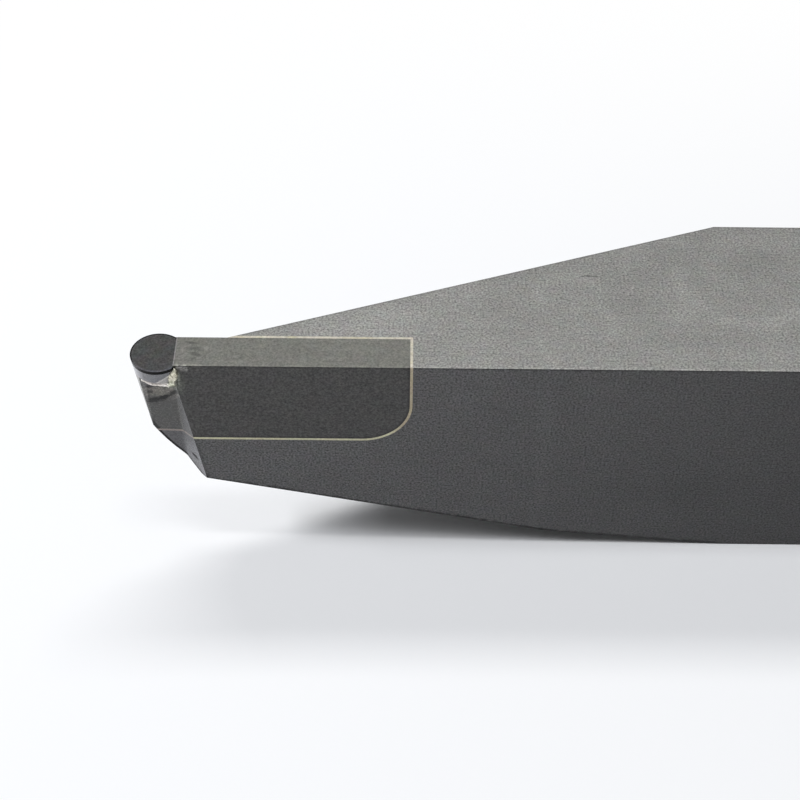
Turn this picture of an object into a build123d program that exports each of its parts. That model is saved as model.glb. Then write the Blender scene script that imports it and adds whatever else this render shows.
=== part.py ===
from build123d import *
from math import cos, radians, tan
import os

# Diamond turning tool: a steel shank with a brazed carbide blade, which carries a round
# diamond disc at its nose. All sizes are in millimetres and degrees.
# X runs along the shank, from the nose to the rear end. The near side, where the blade
# lies open, faces -Y. The tool stands on its seat at Z = 0, and the origin is the middle
# of that seat.

# Shank
overall_length = 125.0
shank_width = 20.0
shank_height = 25.0
rear_chamfer = 1.0

# Tapered head, with stations measured back from the tip of the nose
taper_station = 55.5
taper_angle = 19.2
relief_station = 57.5
relief_angle = 6.2
heel_relief_station = 39.0
heel_station = 5.4
head_depth = 15.35
heel_drop = 8.4
heel_radius = 20.0

# Carbide blade in its pocket
blade_length = 25.55
blade_height = 9.6
blade_thickness = 3.7
blade_corner_radius = 4.55
blade_seam = 0.25

# Round diamond disc at the nose
nose_radius = 2.5
nose_shift = 0.2
disc_depth = 4.05
diamond_thickness = 0.4
backing_thickness = 1.2
disc_seam = 0.2
disc_back_seam = 0.1

# Ground flanks of the nose
clearance_angle = 7.0
flank_drop = 1.6
flank_station = 4.0
flank_plan_angle = 2.0
runout_angle = 41.5
runout_radius = 0.5

# Braze that ran out beside the disc
fillet_drop = 2.75
fillet_length = 3.65
fillet_inset = 0.05
fillet_root = 0.2
lump_top_drop = 0.3
lump_bottom_drop = 2.55
lump_top_width = 0.25
lump_bottom_width = 0.8
lump_stand = 0.35
lump_rounding = 0.1

# How far a cutting shape runs past the surface that it cuts
run_past = 2.0

# Places worked out from the sizes
tip_x = -(relief_station + overall_length) / 2
rear_x = tip_x + overall_length
near_y = -shank_width / 2
far_y = shank_width / 2
blade_far_y = near_y + blade_thickness
blade_middle_y = near_y + blade_thickness / 2
blade_bottom_z = shank_height - blade_height
nose_x = tip_x + nose_radius
nose_y = blade_middle_y - nose_shift
disc_back_x = tip_x + disc_depth
disc_bottom_z = shank_height - diamond_thickness - backing_thickness
clearance = tan(radians(clearance_angle))
blade_side = Plane.XZ.offset(-near_y)

os.makedirs("parts", exist_ok=True)

# The shank's outline from above. The far side tapers down to the line of the blade's far
# face and then follows it to the nose.
taper_end_x = tip_x + taper_station - (far_y - blade_far_y) / tan(radians(taper_angle))
with BuildPart() as shank_form:
    with BuildSketch():
        with BuildLine():
            Polyline(
                (tip_x, near_y),
                (rear_x, near_y),
                (rear_x, far_y),
                (tip_x + taper_station, far_y),
                (taper_end_x, blade_far_y),
                (tip_x, blade_far_y),
                close=True,
            )
        make_face()
    extrude(amount=shank_height)

# The nose cone. The disc's round edge carries on downwards as a cone that narrows at the
# clearance angle, through the disc, the blade and the steel.
cone_base_radius = nose_radius - head_depth * clearance
with BuildPart() as nose_cone:
    with Locations((nose_x, nose_y, shank_height)):
        Cone(
            cone_base_radius,
            nose_radius,
            head_depth,
            align=(Align.CENTER, Align.CENTER, Align.MAX),
        )

# What the grinding of the round nose takes away in front of the disc's axis
with BuildPart() as nose_waste:
    with Locations((nose_x, blade_middle_y, 0)):
        Box(
            nose_radius + run_past,
            shank_width + run_past,
            shank_height,
            align=(Align.MAX, Align.CENTER, Align.MIN),
        )
    add(nose_cone.part, mode=Mode.SUBTRACT)

# What the grinding of the two side flanks takes away. Each flank leans in by the clearance
# angle, closes in a little towards the nose, and ends behind the disc in a slanted runout.
flank_front_x = tip_x - run_past
flank_front_y = near_y + (flank_station + run_past) * tan(radians(flank_plan_angle))
flank_back_x = tip_x + flank_station
runout_back_x = flank_back_x + shank_width / 2
runout_back_y = near_y - tan(radians(runout_angle)) * shank_width / 2
with BuildPart() as flank_waste:
    with BuildSketch(Plane.XY.offset(shank_height - flank_drop)) as flank_outline:
        with BuildLine():
            Polyline(
                (flank_front_x, flank_front_y),
                (flank_back_x, near_y),
                (runout_back_x, runout_back_y),
                (flank_front_x, runout_back_y),
                close=True,
            )
        make_face()
        fillet(
            flank_outline.vertices().sort_by(Axis.Y)[-2:].sort_by(Axis.X)[-1],
            radius=runout_radius,
        )
    extrude(amount=shank_height / cos(radians(clearance_angle)), dir=(0, clearance, -1), both=True)
    mirror(about=Plane.XZ.offset(-blade_middle_y))

# The head's side view, ground nose included. The underside leaves the seat at a shallow
# angle, gets steeper, and turns up to the nose round the heel.
relief_x = tip_x + relief_station
heel_relief_x = tip_x + heel_relief_station
heel_relief_z = (relief_station - heel_relief_station) * tan(radians(relief_angle))
heel_top_z = shank_height - heel_drop
heel_top_x = tip_x + heel_drop * clearance
with BuildPart() as ground_form:
    with BuildSketch(blade_side):
        with BuildLine():
            lower_line = Polyline(
                (rear_x, 0),
                (relief_x, 0),
                (heel_relief_x, heel_relief_z),
                (tip_x + heel_station, shank_height - head_depth),
            )
            heel = RadiusArc(lower_line @ 1, (heel_top_x, heel_top_z), heel_radius)
            Polyline(
                heel @ 1,
                (tip_x, heel_top_z),
                (tip_x, shank_height),
                (rear_x, shank_height),
                (rear_x, 0),
            )
        make_face()
    extrude(amount=-shank_width)
    add(nose_waste.part, mode=Mode.SUBTRACT)
    add(flank_waste.part, mode=Mode.SUBTRACT)

# The blade before its notch is cut, and the pocket that is larger by the braze seam
with BuildPart() as blade_form:
    with BuildSketch(blade_side) as blade_outline:
        with Locations((tip_x, blade_bottom_z)):
            Rectangle(blade_length, blade_height, align=(Align.MIN, Align.MIN))
        fillet(
            blade_outline.vertices().group_by(Axis.X)[-1].sort_by(Axis.Y)[0],
            radius=blade_corner_radius,
        )
    extrude(amount=-blade_thickness)

with BuildPart() as pocket_form:
    with BuildSketch(blade_side) as pocket_outline:
        with Locations((tip_x, blade_bottom_z - blade_seam)):
            Rectangle(
                blade_length + blade_seam,
                blade_height + blade_seam,
                align=(Align.MIN, Align.MIN),
            )
        fillet(
            pocket_outline.vertices().group_by(Axis.X)[-1].sort_by(Axis.Y)[0],
            radius=blade_corner_radius + blade_seam,
        )
    extrude(amount=-(blade_thickness + blade_seam))

# The notch in the blade's end, which takes the disc and the braze under and behind it
with BuildPart() as notch_form:
    with Locations((tip_x, blade_middle_y, shank_height)):
        Box(
            disc_depth + disc_back_seam,
            blade_thickness,
            diamond_thickness + backing_thickness + disc_seam,
            align=(Align.MIN, Align.CENTER, Align.MAX),
        )

# Steel shank
with BuildPart() as shank:
    add(shank_form.part)
    add(pocket_form.part, mode=Mode.SUBTRACT)
    add(ground_form.part, mode=Mode.INTERSECT)
    chamfer(shank.faces().sort_by(Axis.X)[-1].edges(), length=rear_chamfer)
shank.part.label = "shank"
export_step(shank.part, "parts/shank.step")

# Carbide blade
with BuildPart() as carbide_blade:
    add(blade_form.part)
    add(notch_form.part, mode=Mode.SUBTRACT)
    add(ground_form.part, mode=Mode.INTERSECT)
carbide_blade.part.label = "carbide_blade"
export_step(carbide_blade.part, "parts/carbide_blade.step")

# Braze film between the blade and the walls of its pocket
with BuildPart() as blade_braze:
    add(pocket_form.part)
    add(blade_form.part, mode=Mode.SUBTRACT)
    add(shank_form.part, mode=Mode.INTERSECT)
    add(ground_form.part, mode=Mode.INTERSECT)
blade_braze.part.label = "blade_braze"
export_step(blade_braze.part, "parts/blade_braze.step")

# Carbide backing of the disc, from the nose cone, flat at the back
backing_top_z = shank_height - diamond_thickness
with BuildPart() as carbide_disc:
    add(nose_cone.part)
    split(bisect_by=Plane.XY.offset(backing_top_z), keep=Keep.BOTTOM)
    split(bisect_by=Plane.XY.offset(disc_bottom_z), keep=Keep.TOP)
    split(bisect_by=Plane.YZ.offset(disc_back_x), keep=Keep.BOTTOM)
carbide_disc.part.label = "carbide_disc"
export_step(carbide_disc.part, "parts/carbide_disc.step")

# Diamond layer on the backing, level with the blade's top
with BuildPart() as diamond_layer:
    add(nose_cone.part)
    split(bisect_by=Plane.XY.offset(backing_top_z), keep=Keep.TOP)
    split(bisect_by=Plane.YZ.offset(disc_back_x), keep=Keep.BOTTOM)
diamond_layer.part.label = "diamond_layer"
export_step(diamond_layer.part, "parts/diamond_layer.step")

# The fillet of braze below the disc's overhang. In front of the disc's axis it is a cone
# that narrows from just inside the disc's lower edge, so its foot rises towards the tip,
# where the overhang ends. Behind the axis it runs on straight with the same section. Its
# foot lies on the blade's near flank, and its root is inside the blade.
disc_bottom_radius = nose_radius - (shank_height - disc_bottom_z) * clearance
fillet_half_width = disc_bottom_radius - fillet_inset
flank_lean = (fillet_drop - flank_drop) * clearance
flank_taper = (flank_station - nose_radius) * tan(radians(flank_plan_angle))
fillet_foot_radius = nose_y - near_y - flank_lean - flank_taper
fillet_slope = (fillet_half_width - fillet_foot_radius) / (
    fillet_drop - diamond_thickness - backing_thickness
)
fillet_root_radius = fillet_foot_radius - fillet_root
fillet_height = (fillet_half_width - fillet_root_radius) / fillet_slope
with BuildPart() as side_fillets:
    with Locations((nose_x, nose_y, disc_bottom_z)):
        Cone(
            fillet_root_radius,
            fillet_half_width,
            fillet_height,
            align=(Align.CENTER, Align.CENTER, Align.MAX),
        )
    split(bisect_by=Plane.YZ.offset(nose_x), keep=Keep.BOTTOM)
    with BuildSketch(Plane.YZ.offset(nose_x)):
        with BuildLine():
            Polyline(
                (nose_y - fillet_half_width, disc_bottom_z),
                (nose_y - fillet_root_radius, disc_bottom_z - fillet_height),
                (nose_y + fillet_root_radius, disc_bottom_z - fillet_height),
                (nose_y + fillet_half_width, disc_bottom_z),
                close=True,
            )
        make_face()
    extrude(amount=fillet_length - nose_radius)
    add(nose_cone.part, mode=Mode.INTERSECT)

# The lump of braze at the disc's near rear corner, narrow at the top and wide at the foot
lump_right_x = disc_back_x + lump_top_width
with BuildPart() as braze_lump:
    with BuildSketch(blade_side.offset(lump_stand)) as lump_outline:
        with BuildLine():
            Polyline(
                (lump_right_x - lump_top_width, shank_height - lump_top_drop),
                (lump_right_x, shank_height - lump_top_drop),
                (lump_right_x, shank_height - lump_bottom_drop),
                (lump_right_x - lump_bottom_width, shank_height - lump_bottom_drop),
                close=True,
            )
        make_face()
        fillet(lump_outline.vertices(), radius=lump_rounding)
    extrude(amount=-2 * lump_stand)
    fillet(braze_lump.faces().sort_by(Axis.Y)[0].edges(), radius=lump_rounding)

# Braze that holds the disc in its notch
with BuildPart() as disc_braze:
    add(notch_form.part)
    add(ground_form.part, mode=Mode.INTERSECT)
    add(side_fillets.part)
    add(braze_lump.part)
    add(carbide_blade.part, mode=Mode.SUBTRACT)
    add(carbide_disc.part, mode=Mode.SUBTRACT)
    add(diamond_layer.part, mode=Mode.SUBTRACT)
disc_braze.part.label = "disc_braze"
export_step(disc_braze.part, "parts/disc_braze.step")
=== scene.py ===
# %% [markdown]
# # Diamond turning tool
# A lathe tool with a round diamond nose, lying on its underside. The shank, the carbide blade,
# the disc and the two runs of braze are already modelled, to size. This lesson gives each of
# them the finish that it has on the real tool, adds the bead of braze round the disc, and then
# sets the floor, the light and the camera.

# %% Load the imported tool
import math

import bpy
import numpy as np
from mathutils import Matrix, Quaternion, Vector


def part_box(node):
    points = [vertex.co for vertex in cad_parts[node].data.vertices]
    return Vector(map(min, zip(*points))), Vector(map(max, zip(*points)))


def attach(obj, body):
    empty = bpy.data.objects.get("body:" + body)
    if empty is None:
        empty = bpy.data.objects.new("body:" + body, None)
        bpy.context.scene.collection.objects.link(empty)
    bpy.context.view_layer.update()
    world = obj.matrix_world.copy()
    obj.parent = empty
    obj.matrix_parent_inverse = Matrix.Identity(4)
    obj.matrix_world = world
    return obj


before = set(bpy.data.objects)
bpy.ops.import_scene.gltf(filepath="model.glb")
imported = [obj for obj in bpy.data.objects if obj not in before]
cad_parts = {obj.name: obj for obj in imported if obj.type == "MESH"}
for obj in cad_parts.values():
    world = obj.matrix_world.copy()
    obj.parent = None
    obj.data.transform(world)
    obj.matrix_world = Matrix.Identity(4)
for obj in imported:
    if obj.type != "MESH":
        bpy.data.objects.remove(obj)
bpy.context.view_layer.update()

MM = 0.001
print("pieces:", sorted(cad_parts))

# %% [markdown]
# ## Places on the tool
# A finish needs to know where it is on the tool: how near the nose, how near an edge. Those
# places could be typed in, but they are read from the pieces' own boxes instead, so that they
# follow the model. X runs from the nose to the rear end, the near side faces -Y, and Z is up.

# %% Read the main places from the pieces
shank_low, shank_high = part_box("shank")
blade_low, blade_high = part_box("carbide_blade")
diamond_low, diamond_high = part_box("diamond_layer")

top_z = shank_high.z
near_y = shank_low.y
tip_x = diamond_low.x
nose_radius = (diamond_high.y - diamond_low.y) / 2
nose_centre = Vector((tip_x + nose_radius, (diamond_low.y + diamond_high.y) / 2, top_z))
print("nose centre in mm:", [round(c / MM, 2) for c in nose_centre])


def from_tip(station, drop, outward=0.0):
    """A place in mm from the tip, down from the top and out from the near side, in metres."""
    return (tip_x + station * MM, near_y - outward * MM, top_z - drop * MM)


# %% [markdown]
# ## Flat faces
# The edges of a ground bar are where two flat faces meet, and they catch the light in a line
# of their own. A bevel would show that too, but the pieces meet flush, and a bevel would open a
# groove between them. So the line is painted: it lies where a point is near two flat faces at
# once. Each face is measured from the mesh as the way that it looks and how far out it lies.

# %% Measure a flat face
PARALLEL = 0.9999


def read_vectors(items, name):
    """The named vector of every face or vertex of a mesh, one row each."""
    values = np.empty(len(items) * 3)
    items.foreach_get(name, values)
    return values.reshape(-1, 3)


def flat_face(node_name, toward):
    """The flat face that looks most nearly toward a direction: its own direction and reach.

    The reach is the face's place along its direction, the largest where several are parallel.
    Two faces are parallel where the cosine of the angle between them is over PARALLEL.
    """
    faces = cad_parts[node_name].data.polygons
    ways, middles = read_vectors(faces, "normal"), read_vectors(faces, "center")
    wanted = np.array(toward) / np.linalg.norm(toward)
    way = ways[np.argmax(ways @ wanted)]
    same = ways @ way > PARALLEL
    return tuple(way), float((middles[same] @ way).max())


top_face = flat_face("shank", (0, 0, 1))
near_face = flat_face("shank", (0, -1, 0))
far_face = flat_face("shank", (0, 1, 0))
taper_face = flat_face("shank", (-0.33, 0.94, 0))
seat_face = flat_face("shank", (0, 0, -1))
head_relief_face = flat_face("shank", (-0.22, 0, -0.98))
relief_face = flat_face("shank", (-0.11, 0, -0.99))
rear_face = flat_face("shank", (1, 0, 0))
runout_face = flat_face("carbide_blade", (-0.66, -0.75, -0.09))
for label, (way, reach) in (("taper", taper_face), ("runout", runout_face)):
    print(label, "looks", [round(part, 3) for part in way], "at", round(reach / MM, 2), "mm")

# %% [markdown]
# ## Small helpers for node trees
# A material in Blender is a graph of nodes. Written out one node at a time, a graph takes many
# lines, so a few helpers keep it short. They add any node, do sums with numbers and masks, make
# a soft step from 0 to 1, and go from one colour to another.

# %% Helpers that feed and add nodes
def feed(tree, socket, value):
    """Links an input to another socket, or sets its value. A colour is three numbers."""
    if isinstance(value, bpy.types.NodeSocket):
        tree.links.new(value, socket)
    elif socket.type == "RGBA":
        socket.default_value = (*value, 1.0)
    else:
        socket.default_value = value


def add(tree, kind, inputs=None, **settings):
    """Adds a node, sets its settings, and feeds each input. "Math" stands for ShaderNodeMath."""
    made = tree.nodes.new("ShaderNode" + kind)
    for name, value in settings.items():
        setattr(made, name, value)
    for key, value in (inputs or {}).items():
        feed(tree, made.inputs[key], value)
    return made


# %% Helpers for sums with numbers and masks
def calc(tree, operation, *values, clamp=False):
    """One Math node on the given numbers or sockets."""
    inputs = dict(enumerate(values))
    return add(tree, "Math", inputs, operation=operation, use_clamp=clamp).outputs[0]


def product(tree, first, *others):
    """All the numbers multiplied together."""
    for other in others:
        first = calc(tree, "MULTIPLY", first, other)
    return first


def plus(tree, total, mask, strength):
    """The total plus the mask times its strength."""
    return calc(tree, "MULTIPLY_ADD", mask, strength, total)


def between(tree, mask, off, on):
    """Goes from the number off to the number on as a mask goes from 0 to 1."""
    return plus(tree, off, mask, on - off)


def invert(tree, mask):
    """1 minus a mask."""
    return calc(tree, "SUBTRACT", 1.0, mask)


# %% Helpers for vectors and colours
def vector_calc(tree, operation, first, second, output="Vector"):
    """One Vector Math node on two vectors."""
    made = add(tree, "VectorMath", {0: first, 1: second}, operation=operation)
    return made.outputs[output]


def away_from(tree, place, centre, axes):
    """The way from a centre to a place, with each axis times a number. 0 leaves the axis out."""
    return vector_calc(tree, "MULTIPLY", vector_calc(tree, "SUBTRACT", place, centre), axes)


def length(tree, vector):
    """How long a vector is."""
    return add(tree, "VectorMath", {0: vector}, operation="LENGTH").outputs["Value"]


def split_axes(tree, vector):
    """The x, y and z of a vector socket."""
    return add(tree, "SeparateXYZ", {0: vector}).outputs


def step(tree, value, off, on):
    """A soft step from 0 to 1, as the value goes from off to on. On may be the smaller one."""
    inputs = {"Value": value, "From Min": off, "From Max": on}
    made = add(tree, "MapRange", inputs, interpolation_type="SMOOTHSTEP")
    return made.outputs["Result"]


def mix(tree, amount, first, second):
    """Goes from the first colour to the second as amount goes from 0 to 1."""
    made = add(tree, "Mix", data_type="RGBA")
    open_inputs = [socket for socket in made.inputs if socket.enabled]
    for socket, value in zip(open_inputs, (amount, first, second)):
        feed(tree, socket, value)
    return next(socket for socket in made.outputs if socket.enabled)


def tint(tree, colour, shade):
    """Multiplies a colour by a number."""
    inputs = {0: colour, "Scale": shade}
    return add(tree, "VectorMath", inputs, operation="SCALE").outputs["Vector"]


# %% [markdown]
# ## Effects that several finishes share
# Steel, carbide, diamond and braze all show a fine grain, grinding lines, soft clouds and a
# faint change of hue. They share worn edges and stains too. Each effect is built once as a node
# group, with its sizes and strength as named inputs, and placed in every finish that needs it.

# %% Helpers that start and place a node group
NUMBER, VECTOR, COLOUR = "NodeSocketFloat", "NodeSocketVector", "NodeSocketColor"


def new_group(name, inputs, outputs):
    """A shader node group with named sockets, and its inner input and output sockets."""
    group = bpy.data.node_groups.new(name, "ShaderNodeTree")
    for label, kind in inputs.items():
        group.interface.new_socket(label, in_out="INPUT", socket_type=kind)
    for label, kind in outputs.items():
        group.interface.new_socket(label, in_out="OUTPUT", socket_type=kind)
    inside = group.nodes.new("NodeGroupInput").outputs
    outside = group.nodes.new("NodeGroupOutput").inputs
    return group, inside, outside


def use(tree, group, **inputs):
    """Places a node group in a tree. An input's name is written with _ for each space."""
    made = tree.nodes.new("ShaderNodeGroup")
    made.node_tree = group
    for key, value in inputs.items():
        feed(tree, made.inputs[key.replace("_", " ")], value)
    return made.outputs


def noise(tree, place, size, detail=2.0, roughness=0.5, distortion=0.0, output="Fac"):
    """A noise pattern with features about size metres wide."""
    inputs = {
        "Vector": place,
        "Scale": calc(tree, "DIVIDE", 1.0, size),
        "Detail": detail,
        "Roughness": roughness,
        "Distortion": distortion,
    }
    return add(tree, "TexNoise", inputs).outputs[output]


NOISE_GAIN = 4.0


def round_zero(tree, pattern):
    """Turns a noise pattern, which keeps near 0.5, into a stronger one round 0."""
    return calc(tree, "MULTIPLY_ADD", pattern, NOISE_GAIN, -0.5 * NOISE_GAIN)


def swing(tree, pattern, amount):
    """Turns a noise pattern into a factor round 1."""
    return plus(tree, 1.0, round_zero(tree, pattern), amount)


# %% Ground surface: grain, grinding lines along X, soft clouds and a faint change of hue
surface_group, inside, outside = new_group(
    "ground_surface",
    {
        "Place": VECTOR,
        "Grain size": NUMBER,
        "Grain": NUMBER,
        "Lines": NUMBER,
        "Cloud size": NUMBER,
        "Clouds": NUMBER,
        "Hue": NUMBER,
    },
    {"Tint": COLOUR, "Height": NUMBER},
)
LINE_LENGTH, LINE_WIDTH, HUE_PATCH = 5 * MM, 0.16 * MM, 1.2 * MM
LINE_RELIEF = 0.5
GREY, WHITE = (0.5, 0.5, 0.5), (1.0, 1.0, 1.0)
tree, place = surface_group, inside["Place"]
grain = noise(tree, place, inside["Grain size"], detail=1.0, roughness=0.6)
squeeze = (1 / LINE_LENGTH, 1 / LINE_WIDTH, 1 / LINE_WIDTH)
lines = noise(tree, vector_calc(tree, "MULTIPLY", place, squeeze), 1.0, detail=3.0)
clouds = noise(tree, place, inside["Cloud size"], distortion=1.2)
hue = noise(tree, place, HUE_PATCH, output="Color")
shade = product(
    tree,
    swing(tree, grain, inside["Grain"]),
    swing(tree, lines, inside["Lines"]),
    swing(tree, clouds, inside["Clouds"]),
)
away_from_grey = tint(tree, vector_calc(tree, "SUBTRACT", hue, GREY), inside["Hue"])
hue_factor = vector_calc(tree, "ADD", away_from_grey, WHITE)
tree.links.new(tint(tree, hue_factor, shade), outside["Tint"])
tree.links.new(plus(tree, grain, lines, LINE_RELIEF), outside["Height"])


def ground(tree, place, grain, lines, clouds, hue):
    """The tint and height of a ground surface. Grain and clouds are a size in mm and a strength."""
    return use(
        tree,
        surface_group,
        Place=place,
        Grain_size=grain[0] * MM,
        Grain=grain[1],
        Lines=lines,
        Cloud_size=clouds[0] * MM,
        Clouds=clouds[1],
        Hue=hue,
    )


# %% Edge: the line where a point is near two flat faces at once
edge_group, inside, outside = new_group(
    "edge_line",
    {
        "Place": VECTOR,
        "First way": VECTOR,
        "First reach": NUMBER,
        "Second way": VECTOR,
        "Second reach": NUMBER,
        "Width": NUMBER,
    },
    {"Mask": NUMBER},
)
EDGE_PATCH, EDGE_RAGGED = 0.6 * MM, 0.8
tree, place = edge_group, inside["Place"]
ragged_width = swing(tree, noise(tree, place, EDGE_PATCH), EDGE_RAGGED)
ragged_width = product(tree, ragged_width, inside["Width"])
near_both = 1.0
for face in ("First", "Second"):
    along = vector_calc(tree, "DOT_PRODUCT", place, inside[face + " way"], "Value")
    depth = calc(tree, "SUBTRACT", inside[face + " reach"], along)
    near_both = product(tree, near_both, step(tree, depth, ragged_width, 0.0))
tree.links.new(near_both, outside["Mask"])


def edge(tree, place, first_face, second_face, width):
    """The mask of the edge between two flat faces, width metres wide on each of them."""
    return use(
        tree,
        edge_group,
        Place=place,
        First_way=first_face[0],
        First_reach=first_face[1],
        Second_way=second_face[0],
        Second_reach=second_face[1],
        Width=width,
    )["Mask"]


# %% Spot: a soft oval stain, streak or dot with a ragged rim
spot_group, inside, outside = new_group(
    "soft_spot",
    {"Place": VECTOR, "Centre": VECTOR, "Half size": VECTOR, "Turn": VECTOR, "Ragged": NUMBER},
    {"Mask": NUMBER},
)
SPOT_PATCH, SPOT_ENDS = 0.35 * MM, (1.15, 0.35)
tree, place = spot_group, inside["Place"]
from_centre = vector_calc(tree, "SUBTRACT", place, inside["Centre"])
turned = add(
    tree,
    "VectorRotate",
    {"Vector": from_centre, "Rotation": inside["Turn"]},
    rotation_type="EULER_XYZ",
    invert=True,
).outputs[0]
in_sizes = vector_calc(tree, "DIVIDE", turned, inside["Half size"])
patches = round_zero(tree, noise(tree, place, SPOT_PATCH))
out = plus(tree, length(tree, in_sizes), patches, inside["Ragged"])
tree.links.new(step(tree, out, *SPOT_ENDS), outside["Mask"])


def spots(tree, place, rows, axis, ragged=0.3):
    """1 plus each spot's mask times its strength.

    A row is a centre in metres, half sizes in mm, a turn in degrees and a strength. The turn is
    about the axis: "Z" for spots on the top, "Y" for spots on a side.
    """
    total = 1.0
    for centre, half_sizes, degrees, strength in rows:
        mask = use(
            tree,
            spot_group,
            Place=place,
            Centre=centre,
            Half_size=[half * MM for half in half_sizes],
            Turn=[math.radians(degrees) if name == axis else 0.0 for name in "XYZ"],
            Ragged=ragged,
        )["Mask"]
        total = plus(tree, total, mask, strength)
    return total


# %% Wipe mark: a soft piece of a ring, as a cloth leaves on clean metal
wipe_group, inside, outside = new_group(
    "wipe_mark",
    {"Place": VECTOR, "Centre": VECTOR, "Radius": NUMBER, "Width": NUMBER, "Toward": VECTOR},
    {"Mask": NUMBER},
)
LEVEL = (1.0, 1.0, 0.0)
WIPE_PATCH, WIPE_GAPS = 1.5 * MM, (0.25, 0.6)
WIPE_END = 0.35
tree, place = wipe_group, inside["Place"]
across = away_from(tree, place, inside["Centre"], LEVEL)
off_ring = calc(tree, "SUBTRACT", length(tree, across), inside["Radius"])
off_ring = calc(tree, "ABSOLUTE", off_ring)
on_ring = step(tree, off_ring, inside["Width"], 0.0)
side_of_ring = vector_calc(tree, "DOT_PRODUCT", across, inside["Toward"], "Value")
side_of_ring = calc(tree, "DIVIDE", side_of_ring, inside["Radius"])
kept = step(tree, side_of_ring, -WIPE_END, WIPE_END)
broken = step(tree, noise(tree, place, WIPE_PATCH), *WIPE_GAPS)
tree.links.new(product(tree, on_ring, kept, broken), outside["Mask"])

# %% [markdown]
# The grinding of the round nose went through the disc, the blade, the film of braze and the
# steel alike. It left faces that lean in by the clearance angle, and no other face leans so.
# One group finds them by that lean, for every piece. It also tells which faces look up, which
# are the runout of the grinding, and which are at the very front.

# %% Kinds of face: the top, the ground nose, its runout and its front
faces_group, inside, outside = new_group(
    "kinds_of_face",
    {"Place": VECTOR, "Normal": VECTOR},
    {"Top": NUMBER, "Nose": NUMBER, "Runout": NUMBER, "Front": NUMBER},
)
LOOKS_UP, LOOKS_LEFT = (0.5, 0.9), (-0.5, -0.95)
LEANS_IN, NOT_TOO_FAR = (0.03, 0.07), (0.3, 0.16)
LIKE_RUNOUT = (0.985, 0.999)
FRONT_ENDS = (1.4 * MM, 1.19 * MM)
FRONT_SHARE = 0.25


def behind_tip(tree, place):
    """How far a place is behind the tip."""
    return calc(tree, "SUBTRACT", split_axes(tree, place)["X"], tip_x)


tree, way = faces_group, split_axes(faces_group, inside["Normal"])
down = calc(tree, "MULTIPLY", way["Z"], -1.0)
leans = product(tree, step(tree, down, *LEANS_IN), step(tree, down, *NOT_TOO_FAR))
likeness = vector_calc(tree, "DOT_PRODUCT", inside["Normal"], runout_face[0], "Value")
station = behind_tip(tree, inside["Place"])
front = product(tree, step(tree, station, *FRONT_ENDS), FRONT_SHARE)
front = plus(tree, front, step(tree, way["X"], *LOOKS_LEFT), 1.0 - FRONT_SHARE)
tree.links.new(step(tree, way["Z"], *LOOKS_UP), outside["Top"])
tree.links.new(leans, outside["Nose"])
tree.links.new(step(tree, likeness, *LIKE_RUNOUT), outside["Runout"])
tree.links.new(product(tree, front, leans), outside["Front"])

# %% [markdown]
# ## Finishes
# Every finish is one Principled shader. Its colour, roughness and bump come from the groups.
# Metal is bright because of what it mirrors. A dull ground face scatters much of the light, so
# steel and carbide are only half metal here, and the bead and the backing, which are smoother,
# are nearly full metal.

# %% Helpers that start and end a finish
MEAN_HEIGHT = 0.5 + 0.5 * LINE_RELIEF
ROUGHNESS_SWING = 0.2


def new_finish(name, metallic=0.0):
    """A material with one Principled shader, and the sockets of the place and the normal."""
    material = bpy.data.materials.new(name)
    material.use_nodes = True
    tree = material.node_tree
    shader = tree.nodes["Principled BSDF"]
    shader.inputs["Metallic"].default_value = metallic
    source = add(tree, "TexCoord")
    return material, tree, shader, source.outputs["Object"], source.outputs["Normal"]


def finish_surface(tree, shader, colour, surface, roughness, depth):
    """Feeds the colour times the surface's tint, the roughness, and a bump of depth metres."""
    colour = vector_calc(tree, "MULTIPLY", colour, surface["Tint"])
    tree.links.new(colour, shader.inputs["Base Color"])
    raised = calc(tree, "SUBTRACT", surface["Height"], MEAN_HEIGHT)
    roughness = plus(tree, roughness, raised, ROUGHNESS_SWING)
    tree.links.new(roughness, shader.inputs["Roughness"])
    bump = add(tree, "Bump", {"Height": surface["Height"], "Distance": depth})
    tree.links.new(bump.outputs["Normal"], shader.inputs["Normal"])


def wear(node_name, material):
    """Gives a modelled piece its finish."""
    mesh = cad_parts[node_name].data
    mesh.materials.clear()
    mesh.materials.append(material)
    print(node_name, "wears", material.name)


# %% [markdown]
# ## The shank
# A bar of tool steel, ground on every side and left dull. Its top was wiped with a cloth, which
# left soft pieces of rings, and it has a scratch and a few specks. Its top is painted lighter and
# its sides darker, as painted light and shade. The top edge has a thin painted highlight from
# above and a painted dark line from the side. The lower edges of the head carry painted shade.
# The side has painted shade that gets a little darker to the rear, and the runout of the nose is
# darker where it is high. The front of the nose has a painted reflection. Low on the runout is a
# dark fleck. It and the painted shade along the heel mirror nothing, so the specular level falls
# there too.

# %% Heel: measure the round of the underside behind the nose
LOOKS_ACROSS, LOOKS_DOWN_LEFT = 0.01, -0.4
BESIDE_HEEL = (-0.5, -0.2)
HEEL_CORE = 0.5


def heel_circle():
    """The centre and radius of the circle through the heel's faces, by least squares.

    For a point on the circle, twice x times the centre's x, plus twice z times the centre's z,
    plus a constant, is x squared plus z squared, and that is linear in the three unknowns.
    """
    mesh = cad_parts["shank"].data
    way_x, way_y, way_z = read_vectors(mesh.polygons, "normal").T
    on_heel = np.maximum(way_x, way_z) < LOOKS_DOWN_LEFT
    on_heel &= np.abs(way_y) < LOOKS_ACROSS
    corners = np.array([list(face.vertices) for face in mesh.polygons])[on_heel].ravel()
    x, z = read_vectors(mesh.vertices, "co")[corners][:, [0, 2]].T
    table = np.column_stack([2 * x, 2 * z, np.ones_like(x)])
    (centre_x, centre_z, rest), *_ = np.linalg.lstsq(table, x * x + z * z, rcond=None)
    return centre_x, centre_z, math.sqrt(rest + centre_x**2 + centre_z**2)


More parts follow.
